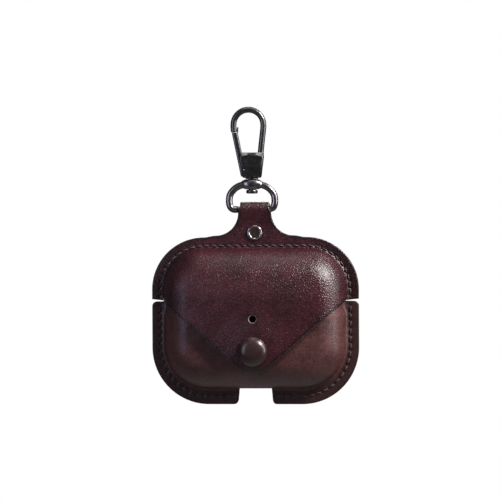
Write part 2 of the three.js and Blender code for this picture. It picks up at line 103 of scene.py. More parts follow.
LEATHER = 1.3
LINING = 0.4
STITCH_INSET = 2.9
STITCH_PITCH = 2.65
SEAM_START = 7.6  # the lower seams' first hole, from the middle


def centre(node):
    """The middle of a node in the cover's frame."""
    low, high = span(node)
    return (low + high) / 2 - ORIGIN


SNAP = centre("snap_cap")
RIVET = centre("rivet_cap")
HOOK_X = centre("swivel_post")[0]
BAR_Z = RIM["high"] + 9.8
STRAP_START = 61.0
STRAP_FOLD_R = 2.65
STRAP_HALF = 5.1
BACK_LEG_FOOT = 58.7
FLAP_TOP = SPLIT - 0.1
FLAP_TIP_R = 8.4
FLAP_TIP_Z = SNAP[2] + 0.7
FLAP_HALF = 31.4
FLAP_LIFT = 2.0
FLAP_LIFT_FROM = 53
SNAP_LIFT = 0.9
SNAP_LIFT_R = 15
SNAP_LIFT_RAMP = 12
LIGHT_HOLE = (0.0, 30.4)
LIGHT_HOLE_R = 1.2
LINING_INSET = 0.35
LINING_HALF = DOME["half"] - LINING_INSET
LINING_TOP = DOME["high"] - LINING_INSET
LINING_FOOT = DOME["low"] + LINING_INSET
PORT_HALF = 5.7
PORT_WALL = 3.6
LIP_R = 1.6
PORT_EDGE = DOME["low"] + FILLET * (1 - math.cos(math.asin((PORT_WALL - RIM_FACE) / RISE)))


def place(points):
    """Points of the cover's frame, in millimetres, as row-frame points in metres."""
    return (np.asarray(points, float) + ORIGIN) * MM


def put_in_scene(name, data):
    thing = bpy.data.objects.new(name, data)
    bpy.context.scene.collection.objects.link(thing)
    return thing


# ---- the moulded shape
def outward(x, z, shape):
    """Distance outside a rounded rectangle (negative inside) and the outward direction there."""
    middle = (shape["low"] + shape["high"]) / 2
    tall = (shape["high"] - shape["low"]) / 2
    r = np.where(z < middle, shape["low_r"], shape["high_r"])
    qx = np.abs(x) - shape["half"] + r
    qz = np.abs(z - middle) - tall + r
    corner = (qx > 0) & (qz > 0)
    length = np.maximum(np.hypot(np.maximum(qx, 0), np.maximum(qz, 0)), 1e-9)
    distance = np.hypot(np.maximum(qx, 0), np.maximum(qz, 0)) + np.minimum(np.maximum(qx, qz), 0) - r
    nx = np.where(corner, qx / length, (qx >= qz) * 1.0) * np.sign(x)
    nz = np.where(corner, qz / length, (qx < qz) * 1.0) * np.sign(z - middle)
    return distance, nx, nz


def wall_profile():
    """The dome's wall unrolled: for each distance along the leather from the plateau's edge, how far out
    and how high it is, and how much a spread and a lift move it there. The foot's corner is rounded."""
    step = 0.05
    angle = np.radians(np.linspace(90, 0, 400))
    out = FILLET * np.cos(angle)
    high = RISE * np.sin(angle)
    length = np.concatenate([[0], np.cumsum(np.hypot(np.diff(out), np.diff(high)))])
    wall = length[-1]
    s = np.arange(-4, wall + 40, step)
    on_wall = np.clip(s, 0, wall)
    distance = np.interp(on_wall, length, out) + np.maximum(s - wall, 0) + np.minimum(s, 0)
    height = np.interp(on_wall, length, high) - RISE
    spread = np.interp(on_wall, length, np.cos(angle)) * np.exp(-np.maximum(s - wall, 0))
    lift = np.interp(on_wall, length, np.sin(angle))
    window = int(1.3 / step)
    kernel = np.ones(window) / window
    near_foot = np.clip((s - wall + 4) / 2, 0, 1)
    rounded = []
    for values in (distance, height, spread, lift):
        soft = np.convolve(np.pad(values, window // 2, mode="edge"), kernel, mode="same")
        soft = soft[window // 2: window // 2 + len(values)]
        far = s > wall + 30
        rounded.append(np.where(far, values, values + near_foot * (soft - values)))
    return s, *rounded, wall


WALL_S, WALL_OUT, WALL_HIGH, WALL_SPREAD, WALL_LIFT, WALL = wall_profile()


def smooth(t):
    t = np.clip(t, 0, 1)
    return t * t * (3 - 2 * t)


def unroll(plan):
    """Front-view points (x, z) as points of the flat leather, where walls are as wide as they are tall."""
    plan = np.asarray(plan, float)
    distance, nx, nz = outward(plan[:, 0], plan[:, 1], PLATEAU)
    s = np.interp(distance, WALL_OUT, WALL_S)
    move = np.where(distance > 0, s - distance, 0)
    return plan + np.stack([nx * move, nz * move], 1)


def ripple(x, z):
    """The slight unevenness of moulded hide, in millimetres."""
    return 0.05 * np.sin(0.31 * x + 0.9) * np.sin(0.27 * z + 0.4) + 0.03 * np.sin(0.83 * x - 0.61 * z)


def front_lift(x, z):
    """How far the lid's front and flap stand out of the lower half's surface: clear of its leather,
    and more round the snap."""
    over_lower = FLAP_LIFT * smooth((FLAP_LIFT_FROM - z) / (FLAP_LIFT_FROM - SPLIT))
    at_snap = SNAP_LIFT * smooth((SNAP_LIFT_R - np.hypot(x - SNAP[0], z - SNAP[2])) / SNAP_LIFT_RAMP)
    return over_lower + at_snap


def no_lift(x, z):
    return 0 * z


def strap_path():
    """The tab seen from the side: from the rim's face up, over the ring's bar and down behind."""
    side = [(-RIM_FACE, STRAP_START), (-RIM_FACE, 62.2), (-1.72, 64.0)]
    fold = [(-STRAP_FOLD_R * math.cos(a), BAR_Z + STRAP_FOLD_R * math.sin(a))
            for a in np.radians(np.arange(-12, 193, 6))]
    back = [(1.72, 64.0), (RIM_FACE, 62.2), (RIM_FACE, 56.0)]
    points = np.array(side + fold + back)
    for _ in range(2):
        low, high = points[:-1], points[1:]
        cut = np.stack([0.75 * low + 0.25 * high, 0.25 * low + 0.75 * high], 1)
        points = np.concatenate([points[:1], cut.reshape(-1, 2), points[-1:]])
    length = np.concatenate([[0], np.cumsum(np.hypot(*np.diff(points, axis=0).T))])
    return STRAP_START + length, points


STRAP_U, STRAP = strap_path()
STRAP_MIDDLE = len(STRAP) // 2
BACK_LEG_END = float(np.interp(-BACK_LEG_FOOT, -STRAP[STRAP_MIDDLE:, 1], STRAP_U[STRAP_MIDDLE:]))


def crown(x, z):
    """How far the moulded face falls away from its highest point, towards the sides."""
    across = np.clip(1 - (x / CROWN_REACH[0]) ** 2, 0, 1)
    hill = across * np.clip(1 - ((z - CROWN_MIDDLE_Z) / CROWN_REACH[1]) ** 2, 0, 1)
    return -CROWN * (1 - hill)


def mould(flat, lift, strap=False, tuck=0.0):
    """Points of the flat leather on the front's outer surface. tuck draws the lid's side walls in."""
    flat = np.asarray(flat, float)
    distance, nx, nz = outward(flat[:, 0], flat[:, 1], PLATEAU)
    s = np.maximum(distance, 0)
    out = np.interp(s, WALL_S, WALL_OUT)
    high = np.interp(s, WALL_S, WALL_HIGH)
    x = flat[:, 0] + nx * np.where(distance > 0, out - s, 0)
    z = flat[:, 1] + nz * np.where(distance > 0, out - s, 0)
    raised = lift(x, z)
    spread = 0.3 * raised - tuck * smooth((z - 31) / 4) * smooth((np.abs(x) - 22) / 5)
    x = x + nx * spread * np.interp(s, WALL_S, WALL_SPREAD)
    k = np.where(distance > 0, np.interp(s, WALL_S, WALL_LIFT), 1)
    y = RIM_FACE + RISE + high + k * (raised + crown(x, z) + ripple(x, z) - 0.08)
    result = np.stack([x, -y, z], 1)
    if strap:
        on = z > STRAP_U[0]
        result[on, 1] = np.interp(z[on], STRAP_U, STRAP[:, 0])
        result[on, 2] = np.interp(z[on], STRAP_U, STRAP[:, 1])
    return result


def normals_of(surface, flat):
    """Outward directions of a front surface, from small steps on the flat leather."""
    step = 0.04
    along_x = surface(flat + [step, 0]) - surface(flat - [step, 0])
    along_z = surface(flat + [0, step]) - surface(flat - [0, step])
    n = np.cross(along_x, along_z)
    return n / np.maximum(np.linalg.norm(n, axis=1, keepdims=True), 1e-12)


# ---- outlines
def arc(cx, cz, r, start, end, step=0.5):
    """Points of an arc, with its angles in degrees."""
    count = max(3, int(abs(math.radians(end - start)) * r / step) + 1)
    angle = np.radians(np.linspace(start, end, count))
    return [(cx + r * math.cos(a), cz + r * math.sin(a)) for a in angle]


def line(a, b, step=0.5):
    count = max(2, int(math.dist(a, b) / step) + 1)
    return [tuple(np.array(a) + (np.array(b) - np.array(a)) * t) for t in np.linspace(0, 1, count)]


def joined(*runs):
    """Runs of points as one closed outline, without repeats."""
    points = []
    for p in (p for run in runs for p in run):
        if not points or math.dist(p, points[-1]) > 0.02:
            points.append((float(p[0]), float(p[1])))
    if math.dist(points[0], points[-1]) < 0.02:
        points.pop()
    return np.array(points)


def mirrored(run):
    return [(-x, z) for x, z in reversed(run)]


def both_sides(right, top=(), foot=()):
    """A closed outline: its right side, what crosses over at the top, its left side and its foot."""
    return joined(right, top, mirrored(right), foot)


def slit(lower, end_x, upper, r):
    """The back's slit: in along its lower lip, round its end and out along its upper lip."""
    end = arc(end_x, SPLIT, r, 270, 90, 0.1)
    return line(lower, (end_x, SPLIT - r)) + end + line((end_x, SPLIT + r), upper)


def upper_right(half, top, r, start_z, step=0.5):
    """From start_z up the right side and round the upper corner."""
    return line((half, start_z), (half, top - r), step) + arc(half - r, top - r, r, 0, 90, step)


def lower_right(half, foot, r, start_x, step=0.5):
    """From start_x along the foot and round the lower corner."""
    return line((start_x, foot), (half - r, foot), step) + arc(half - r, foot + r, r, -90, 0, step)


def rim_upper_right():
    return upper_right(HALF, RIM["high"], RIM["high_r"], LID_LOW)


def rim_lower_right():
    """From the notch round to the right slit's lower lip, whose outer corner is rounded."""
    foot_r = 1.2
    notch_x = 6.2
    return (
        line((PORT_HALF, PORT_EDGE), (notch_x - 0.1, foot_r))
        + arc(notch_x + foot_r, foot_r, foot_r, 180, 270)
        + lower_right(HALF, 0, RIM["low_r"], notch_x + foot_r)
        + upper_right(HALF, LOWER_TOP, LIP_R, RIM["low_r"])
    )


def flap_edge(inset=0.0, half=FLAP_HALF):
    """The V from the left slit round the tip to the right slit."""
    tall = FLAP_TOP - FLAP_TIP_Z
    reach = math.hypot(FLAP_HALF, tall)
    lean = math.degrees(math.atan2(tall, FLAP_HALF) + math.asin(FLAP_TIP_R / reach)) - 90
    slope = math.radians(90 + lean)
    r = FLAP_TIP_R - inset
    start = (r * math.cos(math.radians(lean)), FLAP_TIP_Z + r * math.sin(math.radians(lean)))
    shoulder = (half, FLAP_TOP + inset / math.cos(slope) - (FLAP_HALF - half) * math.tan(slope))
    edge = line(shoulder, start)
    return (edge + arc(0, FLAP_TIP_Z, r, lean, -180 - lean) + mirrored(edge))[::-1]


def front_outline():
    """Lid front, flap and tab as one leather, in the front view with the tab straight up."""
    flare_r = 8.0
    waist = 5.8
    shoulder = waist + flare_r
    bow = 0.6
    strap_end = STRAP_HALF + 0.3
    round_end = 1.5
    end = BACK_LEG_END - round_end
    rim_end = HALF - RIM["high_r"]
    swell = [(rim_end + (shoulder - rim_end) * t, RIM["high"] + bow * t * t * (3 - 2 * t))
             for t in np.linspace(0, 1, 10)]
    flare_z = RIM["high"] + bow + flare_r
    right = (
        rim_upper_right()
        + swell
        + arc(shoulder, flare_z, flare_r, 270, 180)
        + line((waist, flare_z), (STRAP_HALF, BAR_Z + 1))
        + line((STRAP_HALF, BAR_Z + 1), (strap_end, end))
        + arc(strap_end - round_end, end, round_end, 0, 90)
    )
    lip = line((-HALF, LID_LOW), (-FLAP_HALF, FLAP_TOP))
    return both_sides(right, foot=lip + flap_edge() + mirrored(lip))


PORT_LINE = line((-PORT_HALF, PORT_EDGE), (PORT_HALF, PORT_EDGE))


def lower_front_outline():
    top = line((HALF - LIP_R, LOWER_TOP), (LIP_R - HALF, LOWER_TOP))
    return both_sides(rim_lower_right(), top, PORT_LINE)


def back_outline():
    """The whole back leather, with a slit from each side as far as the flat of the back."""
    cut = slit((HALF - LIP_R, LOWER_TOP), PLATEAU["half"] + 0.6, (HALF, LID_LOW), 0.16)
    return both_sides(rim_lower_right() + cut + rim_upper_right(), foot=PORT_LINE)


def lining_foot(end_z):
    """The lining's right edge from the port round the lower corner and up to end_z."""
    r = DOME["low_r"] - LINING_INSET
    return (
        line((PORT_HALF, PORT_EDGE + 0.3), (PORT_HALF + 0.4, LINING_FOOT))
        + lower_right(LINING_HALF, LINING_FOOT, r, PORT_HALF + 0.4)
        + line((LINING_HALF, DOME["low"] + DOME["low_r"]), (LINING_HALF, end_z))
    )


def lining_top(start_z):
    """The lining's right edge from start_z up, round the upper corner and in to the middle."""
    side = upper_right(LINING_HALF, LINING_TOP, DOME["high_r"] - LINING_INSET, start_z)
    return side + line((LINING_HALF - DOME["high_r"], LINING_TOP), (0, LINING_TOP))


def front_lining_outline():
    """The lining of the lid's front and flap, set in from the leather's edges."""
    return both_sides(lining_top(LID_LOW + 0.3), foot=flap_edge(inset=1.1, half=27.0))


def lower_lining_outline():
    """The lining of the lower half's front, down to the port."""
    end_z = LOWER_TOP - 0.5
    return both_sides(lining_foot(end_z), line((LINING_HALF, end_z), (-LINING_HALF, end_z)))


def back_lining_outline():
    """The whole back's lining, slit from each side like the leather."""
    lower, upper = LOWER_TOP - 0.2, LID_LOW + 0.2
    cut = slit((LINING_HALF, lower), PLATEAU["half"] + 0.3, (LINING_HALF, upper), 0.3)
    return both_sides(lining_foot(lower) + cut + lining_top(upper))


# ---- leather sheets
def inside_polygon(points, polygon):
    inside = np.zeros(len(points), bool)
    x, z = points[:, 0], points[:, 1]
    a, b = polygon, np.roll(polygon, -1, axis=0)
    for (ax, az), (bx, bz) in zip(a, b):
        crosses = (az > z) != (bz > z)
        inside ^= crosses & (x < (bx - ax) * (z - az) / (bz - az + 1e-30) + ax)
    return inside


def edge_distance(points, loops):
    best = np.full(len(points), 1e9)
    for loop in loops:
        a, b = loop, np.roll(loop, -1, axis=0)
        for p, q in zip(a, b):
            d = q - p
            t = np.clip(((points - p) @ d) / max(d @ d, 1e-12), 0, 1)
            best = np.minimum(best, np.linalg.norm(points - p - t[:, None] * d, axis=1))
    return best


def resampled(loop, step):
    """The closed outline with points about step apart, keeping its corners."""
    points = []
    for a, b in zip(loop, np.roll(loop, -1, axis=0)):
        count = max(1, int(round(math.dist(a, b) / step)))
        points += [a + (b - a) * i / count for i in range(count)]
    return np.array(points)


OUTLINE_STEP = 0.45
HOLE_STEP = 0.25
EDGE_ROWS = (0.12, 0.3, 0.6)  # rows of points inside each edge
FINE_CELL = 0.28  # coarse points keep this far from fine ones
AWL_R = 0.34
AWL_WIDTH = 0.3
AWL_DEPTH = 0.3
WORN_WIDTH = 0.95
RIM_PAINTED_SHADE = 0.62  # how far painted shade darkens the flat rim


def leather_piece(name, plan_outline, surface, thickness, materials, holes=(), spacing=0.8,
                  back=False, awl_holes=(), offset=0.0, rounding=0.32, bare=None,
                  rim_extra=0.17):
    """A sheet of leather on a moulded surface, with rounded cut edges. Its faces take the materials in
    turn: outside, inside, edge and bare edge. rim_extra is what is added inside, along the rim."""
    loops = [unroll(resampled(plan_outline, OUTLINE_STEP))]
    loops += [unroll(resampled(np.array(hole), HOLE_STEP)) for hole in holes]
    fine = []
    for loop in loops:
        side = np.roll(loop, -1, axis=0) - np.roll(loop, 1, axis=0)
        side /= np.maximum(np.linalg.norm(side, axis=1, keepdims=True), 1e-9)
        inward = np.stack([-side[:, 1], side[:, 0]], 1)
        for depth in EDGE_ROWS:
            fine += [loop + inward * depth, loop - inward * depth]
    for hole in awl_holes:
        fine += [unroll(np.array([hole]))]
        ring = [(AWL_R * math.cos(a), AWL_R * math.sin(a)) for a in np.radians(range(0, 360, 60))]
        fine += [unroll(np.array([hole])) + np.array(ring)]
    fine = np.concatenate(fine)
    low, high = loops[0].min(0), loops[0].max(0)
    rows = np.arange(low[1], high[1], spacing * 0.87)  # rows of nearly even triangles
    columns = np.arange(low[0], high[0], spacing)
    grid = np.array([(x + (i % 2) * spacing / 2, z) for i, z in enumerate(rows) for x in columns])
    taken = {(int(x / FINE_CELL), int(z / FINE_CELL)) for x, z in fine}
    near = [(i, j) for i in (-1, 0, 1) for j in (-1, 0, 1)]
    clear = [not any((int(x / FINE_CELL) + i, int(z / FINE_CELL) + j) in taken for i, j in near)
             for x, z in grid]
    candidates = np.concatenate([fine, grid[np.array(clear)]])

    def within(points):
        keep = inside_polygon(points, loops[0])
        for hole in loops[1:]:
            keep &= ~inside_polygon(points, hole)
        return keep

    candidates = candidates[within(candidates)]
    distance = edge_distance(candidates, loops)
    candidates = candidates[distance > 0.08]
    distance = distance[distance > 0.08]
    order = np.lexsort((candidates[:, 0], candidates[:, 1]))
    cells, kept = set(), []
    for i in order:
        cell = (int(candidates[i, 0] / 0.1), int(candidates[i, 1] / 0.1))
        if cell not in cells:
            cells.add(cell)
            kept.append(i)
    candidates, distance = candidates[kept], distance[kept]

    boundary = np.concatenate(loops)
    flat = np.concatenate([boundary, candidates])
    edges, start = [], 0
    for loop in loops:
        edges += [(start + i, start + (i + 1) % len(loop)) for i in range(len(loop))]
        start += len(loop)
    out = delaunay_2d_cdt([Vector(p) for p in flat], edges, [], 0, 1e-5)
    points = np.array([tuple(p) for p in out[0]])
    origin = [ids[0] if ids else -1 for ids in out[3]]
    triangles = np.array(out[2])
    middle = points[triangles].mean(1)
    triangles = triangles[within(middle)]
    a, b, c = (points[triangles[:, i]] for i in range(3))
    turn = (b[:, 0] - a[:, 0]) * (c[:, 1] - a[:, 1]) - (b[:, 1] - a[:, 1]) * (c[:, 0] - a[:, 0])
    triangles = triangles[np.abs(turn) > 1e-9]
    turn = turn[np.abs(turn) > 1e-9]
    triangles[turn < 0] = triangles[turn < 0][:, ::-1]

    edge_gap = np.zeros(len(points))
    for i, source in enumerate(origin):
        if not 0 <= source < len(boundary):
            edge_gap[i] = distance[max(source - len(boundary), 0)]
    normal = normals_of(surface, points)
    outer = surface(points) - normal * offset

    def drop(r):
        """How far a rounding of radius r takes the face down near an edge."""
        return np.where(edge_gap < r, r - np.sqrt(np.maximum(r * r - (r - edge_gap) ** 2, 0)), 0)

    past_foot = outward(points[:, 0], points[:, 1], PLATEAU)[0] - WALL
    on_rim = smooth(past_foot / 1.5) * smooth(STRAP_START - points[:, 1])
    inner = outer - normal * (thickness + rim_extra * on_rim - drop(rounding * 0.7))[:, None]
    outer = outer - normal * drop(rounding)[:, None]
    pricked = np.zeros(len(points))
    for hole in awl_holes:
        gap = np.linalg.norm(points - unroll(np.array([hole])), axis=1)
        pricked = np.maximum(pricked, np.exp(-(gap / AWL_WIDTH) ** 2))
    outer = outer - normal * (AWL_DEPTH * pricked)[:, None]

    count = len(points)
    used = {(t[i], t[(i + 1) % 3]): True for t in triangles for i in range(3)}
    rim_edges = [e for e in used if (e[1], e[0]) not in used]
    middle_ids = {}
    rows_between = (0.33, 0.67)
    extra = []
    for i in {v for e in rim_edges for v in e}:
        middle_ids[i] = [2 * count + len(extra) + k for k in range(len(rows_between))]
        extra += [outer[i] + (inner[i] - outer[i]) * share for share in rows_between]
    verts = np.concatenate([outer, inner, np.array(extra)])
    faces = [tuple(t) for t in triangles] + [tuple(t[::-1] + count) for t in triangles]
    is_bare = bare(points, edge_gap) if bare is not None else np.zeros(count, bool)
    kinds = [3 if is_bare[t].all() else 0 for t in triangles] + [1] * len(triangles)
    for i, j in rim_edges:
        ladder_i = [i, *middle_ids[i], i + count]
        ladder_j = [j, *middle_ids[j], j + count]
        for k in range(len(ladder_i) - 1):
            faces.append((ladder_j[k], ladder_i[k], ladder_i[k + 1], ladder_j[k + 1]))
            kinds.append(3 if is_bare[i] else 2)
    if back:
        verts = verts * [1, -1, 1]
        faces = [f[::-1] for f in faces]
    mesh = bpy.data.meshes.new(name)
    mesh.from_pydata([tuple(v) for v in place(verts)], [], [tuple(int(i) for i in f) for f in faces])
    for material in materials:
        mesh.materials.append(material)
    mesh.polygons.foreach_set("material_index", kinds)
    # prick also carries painted shade into the awl holes.
    prick = np.zeros(len(verts), np.float32)
    prick[:count] = pricked
    # The edges are darker with wear, and the flat rim with painted shade.
    worn_and_painted_shade = np.ones(len(verts), np.float32)
    worn_and_painted_shade[:count] = np.maximum(np.exp(-(edge_gap / WORN_WIDTH) ** 2), RIM_PAINTED_SHADE * on_rim) * ~is_bare
    worn_and_painted_shade[count:2 * count] = worn_and_painted_shade[:count]
    for key, values in (("prick", prick), ("worn_and_painted_shade", worn_and_painted_shade)):
        mesh.attributes.new(key, "FLOAT", "POINT").data.foreach_set("value", values)
    mesh.validate()
    mesh.shade_smooth()
    return put_in_scene(name, mesh)


# ---- materials
class Look:
    """A material in the making: its nodes, its shader and short ways to join them."""

    def __init__(self, name):
        self.material = bpy.data.materials.new(name)
        self.material.use_nodes = True
        self.tree = self.material.node_tree
        self.shader = self.tree.nodes["Principled BSDF"]

    def put(self, socket, value):
        """Gives a socket a value or another node's output."""
        if isinstance(value, bpy.types.NodeSocket):
            self.tree.links.new(value, socket)
        else:
            socket.default_value = value

    def node(self, kind, output=0, inputs=(), **settings):
        """A new node's output. inputs are pairs: a socket's name or number, and what to put there."""
        node = self.tree.nodes.new(kind)
        for key, value in settings.items():
            setattr(node, key, value)
        for key, value in inputs:
            self.put(node.inputs[key], value)
        return node.outputs[output]

    def shade(self, **values):
        """Sets the shader's sockets, by name with _ for a space."""
        for key, value in values.items():
            self.put(self.shader.inputs[key.replace("_", " ")], value)

    def place(self):
        """Row-frame coordinates in millimetres."""
        metres = self.node("ShaderNodeTexCoord", "Object")
        return self.node("ShaderNodeVectorMath", 0, [(0, metres), ("Scale", 1 / MM)], operation="SCALE")

    def noise(self, scale, detail, roughness=0.5, output="Fac"):
        return self.node("ShaderNodeTexNoise", output, [
            ("Vector", self.place()), ("Scale", scale), ("Detail", detail), ("Roughness", roughness)])

    def spread(self, value, low, high, start=0, end=1):
        """A value that runs from start to end, made to run from low to high."""
        return self.node("ShaderNodeMapRange", 0, [
            ("Value", value), ("From Min", start), ("From Max", end), ("To Min", low), ("To Max", high)])

    def mix(self, factor, under, over, **settings):
        """One colour over another."""
        inputs = [("Factor", factor), (6, under), (7, over)]
        return self.node("ShaderNodeMix", 2, inputs, data_type="RGBA", **settings)

    def ramp(self, factor, *stops):
        """A colour that follows factor through stops: a position and a colour each."""
        node = self.tree.nodes.new("ShaderNodeValToRGB")
        elements = node.color_ramp.elements
        while len(elements) < len(stops):
            elements.new(0.5)
        for element, (position, color) in zip(elements, stops):
            element.position = position
            element.color = (*color, 1)
        self.put(node.inputs["Fac"], factor)
        return node.outputs["Color"]

    def bump(self, height, strength, distance, under=None):
        """A normal raised by height, over the normal under it."""
        inputs = [("Height", height), ("Strength", strength), ("Distance", distance)]
        if under is not None:
            inputs.append(("Normal", under))
        return self.node("ShaderNodeBump", 0, inputs)


def leather_material(name, dark, light, grain, rough, coat, pebble=0.9):
    """Waxed full-grain leather: pebbled grain with fine creases, a cloudy tone, painted shade in the
    creases, the awl holes and along the rim, and a soft gloss.
    """
    look = Look(name)
    mottle = look.noise(0.9, 6.0, 0.65)
    clouds = [("Factor", 0.4), (2, look.noise(0.09, 5.0, 0.6)), (3, mottle)]
    cloudy = look.node("ShaderNodeMix", 0, clouds, data_type="FLOAT")
    wobble = [(0, look.noise(1.3, 3.0, output="Color")), (1, (0.55, 0.55, 0.55)), (2, look.place())]
    bent = look.node("ShaderNodeVectorMath", 0, wobble, operation="MULTIPLY_ADD")

    def cells(scale):
        inputs = [("Vector", bent), ("Scale", scale / pebble)]
        return look.node("ShaderNodeTexVoronoi", "Distance", inputs, feature="DISTANCE_TO_EDGE")

    coarse, fine = cells(1), cells(2.6)
    middle = tuple((a + b) / 2 for a, b in zip(dark, light))
    dye_and_painted_shade = look.ramp(cloudy, (0.36, dark), (0.5, middle), (0.66, light))
    # Painted shade darkens the grain's creases, the awl holes and the flat rim; the edges are darker with
    # wear.
    dye_and_painted_shade = look.mix(1, dye_and_painted_shade, look.spread(coarse, 0.58, 1, end=0.16), blend_type="MULTIPLY")
    # The edges' wear and the flat rim's painted shade.
    worn_and_painted_shade = look.node("ShaderNodeAttribute", "Fac", attribute_name="worn_and_painted_shade")
    dye_and_painted_shade = look.mix(worn_and_painted_shade, dye_and_painted_shade, (*(0.25 * c for c in dark), 1))
    # Painted shade: the awl holes are near black.
    prick = look.node("ShaderNodeAttribute", "Fac", attribute_name="prick")
    dye_and_painted_shade = look.mix(prick, dye_and_painted_shade, (0.003, 0.002, 0.002, 1))
    pebbles = look.bump(coarse, grain, 0.00022)
    creases = look.bump(fine, 0.7 * grain, 0.0001, under=pebbles)
    pores = look.bump(look.noise(7.0, 4.0), 0.3 * grain, 0.00004, under=creases)
    look.shade(Base_Color=dye_and_painted_shade, Roughness=look.spread(mottle, *rough, start=0.3, end=0.7), Normal=pores,
               Coat_Weight=coat, Coat_Roughness=0.3, Specular_IOR_Level=0.42)
    return look.material


def fibre_material(name, dark, light, scale=3.0, rough=0.95, bump=0.6):
    """Napped suede or a raw or painted leather edge: broken short fibres."""
    look = Look(name)
    nap = look.noise(scale, 8.0, 0.75)
    look.shade(Base_Color=look.ramp(nap, (0.35, dark), (0.65, light)), Roughness=rough,
               Normal=look.bump(nap, bump, 0.0001))
    return look.material


def metal_material(name, dark, light, rough, **coating):
    """Plated die-cast metal: slightly cloudy polish with fine scratches."""
    look = Look(name)
    cloud = look.noise(0.7, 4.0)
    scratches = look.bump(look.noise(6.0, 6.0, 0.8), 0.25, 0.00001)
    look.shade(Base_Color=look.ramp(cloud, (0.35, dark), (0.65, light)), Normal=scratches,
               Roughness=look.spread(cloud, *rough), Specular_Tint=(0.45, 0.45, 0.46, 1),
               **{"Metallic": 1, **coating})
    return look.material


def thread_material(name, dark, light):
    """Waxed thread with a visible twist."""
    look = Look(name)
    twist = look.node("ShaderNodeTexWave", "Fac", [
        ("Vector", look.place()), ("Scale", 1.6), ("Distortion", 1.0)], bands_direction="DIAGONAL")
    look.shade(Base_Color=look.ramp(twist, (0.2, dark), (0.8, light)), Roughness=0.55,
               Normal=look.bump(twist, 0.5, 0.0001))
    return look.material


pebbled = leather_material("burgundy_leather", (0.018, 0.0032, 0.0054), (0.054, 0.0105, 0.0160),
                           grain=0.8, rough=(0.29, 0.37), coat=0.05)
plain = leather_material("burgundy_leather_smooth", (0.040, 0.0128, 0.0132), (0.096, 0.034, 0.0325),
                         grain=0.3, rough=(0.36, 0.46), coat=0.03, pebble=0.7)
suede = fibre_material("suede", (0.016, 0.008, 0.010), (0.045, 0.024, 0.028))
lining_cloth = fibre_material("lining_suede", (0.014, 0.008, 0.009), (0.040, 0.022, 0.025), scale=2.2)
edge_paint = fibre_material("edge_paint", (0.014, 0.007, 0.008), (0.034, 0.016, 0.019),
                            scale=5.0, rough=0.38, bump=0.3)
# Bare cut edges: a lighter raw tone, partly a painted highlight.
cut_edge_with_highlight = fibre_material("cut_edge_with_highlight", (0.07, 0.038, 0.043), (0.17, 0.105, 0.112),
                          scale=4.0, rough=0.6, bump=0.3)
thread = thread_material("thread", (0.014, 0.007, 0.008), (0.040, 0.022, 0.024))
black_nickel = metal_material("black_nickel", (0.075, 0.075, 0.077), (0.115, 0.115, 0.118), (0.26, 0.38))
gunmetal = metal_material("gunmetal", (0.17, 0.16, 0.17), (0.25, 0.24, 0.245), (0.22, 0.32))
nickel = metal_material("bright_nickel", (0.34, 0.32, 0.32), (0.46, 0.44, 0.44), (0.14, 0.24))
steel = metal_material("spring_steel", (0.3, 0.3, 0.31), (0.45, 0.45, 0.46), (0.2, 0.35))
enamel = metal_material("brown_enamel", (0.026, 0.0135, 0.014), (0.042, 0.022, 0.022), (0.28, 0.36),
                        Metallic=0.35, Coat_Weight=0.5, Coat_Roughness=0.28)


# ---- seams
def seam_path(inset, low, high):
    """Points inset from the rim's edge, from the middle of the foot up the right side to the top and
    down the left, as far as they lie between two heights."""
    half, base, top = RIM["half"] - inset, RIM["low"] + inset, RIM["high"] - inset
    low_r, high_r = RIM["low_r"] - inset, RIM["high_r"] - inset
    right = (
        lower_right(half, base, low_r, 0, 0.1)
        + upper_right(half, top, high_r, base + low_r, 0.1)
        + line((half - high_r, top), (0, top), 0.1)
    )
    return [p for p in right + mirrored(right) if low <= p[1] <= high]


def evenly(path, pitch):
    """Points a pitch apart along a run, from end to end."""
    path = np.array(path)
    keep = np.concatenate([[True], np.linalg.norm(np.diff(path, axis=0), axis=1) > 1e-4])
    path = path[keep]
    length = np.concatenate([[0], np.cumsum(np.linalg.norm(np.diff(path, axis=0), axis=1))])
    count = int(round(length[-1] / pitch))
    at = np.linspace(0, length[-1], count + 1)
    return np.stack([np.interp(at, length, path[:, 0]), np.interp(at, length, path[:, 1])], 1)


LID_SEAM = evenly(seam_path(STITCH_INSET, LID_LOW + 1.0, RIM["high"]), STITCH_PITCH)
LOWER_PATH = seam_path(STITCH_INSET, 0, LOWER_TOP - 1.3)
RIGHT_SEAM = evenly([p for p in LOWER_PATH if p[0] > SEAM_START], STITCH_PITCH)
LEFT_SEAM = RIGHT_SEAM[::-1] * [-1, 1]


def skin(mesh, loops, closed=False):
    """Quads between loops of as many points each, with flat ends unless closed."""
    rings = [[mesh.verts.new(p) for p in place(loop)] for loop in loops]
    pairs = list(zip(rings[:-1], rings[1:])) + ([(rings[-1], rings[0])] if closed else [])
    for p, q in pairs:
        for k in range(len(p)):
            n = (k + 1) % len(p)
            mesh.faces.new((p[k], p[n], q[n], q[k]))
    if not closed:
        mesh.faces.new(rings[0][::-1])
        mesh.faces.new(rings[-1])


